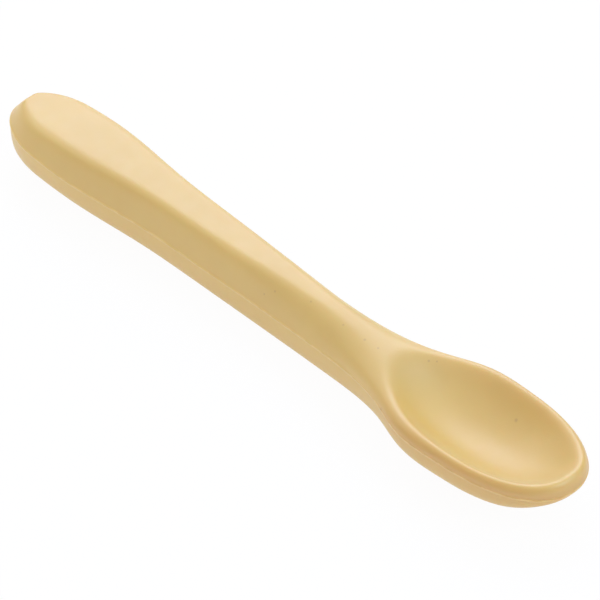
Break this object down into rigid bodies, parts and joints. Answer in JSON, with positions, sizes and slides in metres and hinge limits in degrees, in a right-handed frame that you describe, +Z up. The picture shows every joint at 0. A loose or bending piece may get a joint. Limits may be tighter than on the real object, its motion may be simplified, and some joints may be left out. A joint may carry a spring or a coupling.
{
  "type": "baby spoon",
  "caption": "Small soft weaning spoon: paddle-shaped handle, slim neck and egg-shaped shallow bowl in silicone over a stiff core.",
  "frame": {"origin": "under the middle of the spoon's length and width, on the surface that it rests on", "axes": "+X along the spoon from the handle to the tip of the bowl, +Y across it, +Z up out of the bowl"},
  "size_m": [0.14, 0.0238, 0.0142],
  "materials": {
    "silicone": "satin",
    "core_nylon": "matte"
  },
  "bodies": {
    "root": {"silicone_body": "silicone", "stiffening_core": "core_nylon"}
  },
  "joints": []
}
